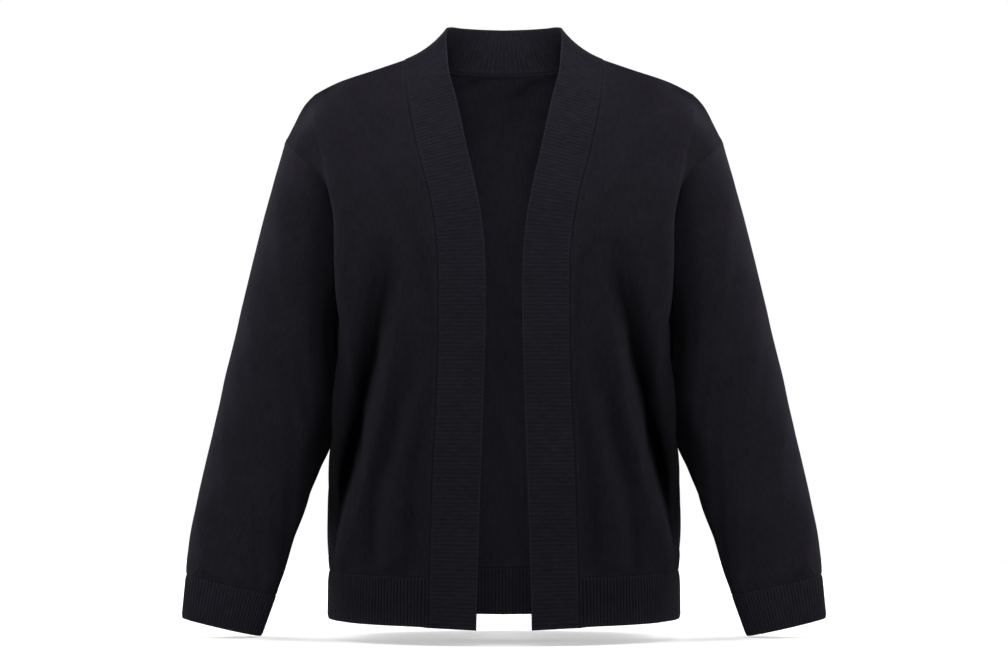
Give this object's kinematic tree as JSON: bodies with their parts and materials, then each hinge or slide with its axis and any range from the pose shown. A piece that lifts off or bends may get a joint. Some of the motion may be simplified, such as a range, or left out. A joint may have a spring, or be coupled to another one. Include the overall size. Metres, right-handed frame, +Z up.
{
  "type": "open-front cardigan",
  "caption": "Open-front knitted cardigan, filled out and hollow, with a ribbed band round neck and fronts, set-in long sleeves, ribbed cuffs and a ribbed hem.",
  "frame": {"origin": "middle of the neck, at the height where the shoulder seams meet the neckband", "axes": "+Z up, the front faces -Y, the wearer's left is +X"},
  "size_m": [0.6947, 0.2618, 0.6597],
  "materials": {
    "cloth": "plain knit, charcoal black, matte",
    "rib": "ribbed knit, charcoal black, matte",
    "band": "ribbed knit band, charcoal black, matte"
  },
  "bodies": {
    "root": {"back": "cloth", "front_right": "cloth", "front_left": "cloth", "sleeve_right": "cloth", "sleeve_left": "cloth", "band_right": "band", "band_left": "band", "cuff_right": "rib", "cuff_left": "rib", "hem_rib_back": "rib", "hem_rib_right": "rib", "hem_rib_left": "rib"}
  },
  "joints": []
}
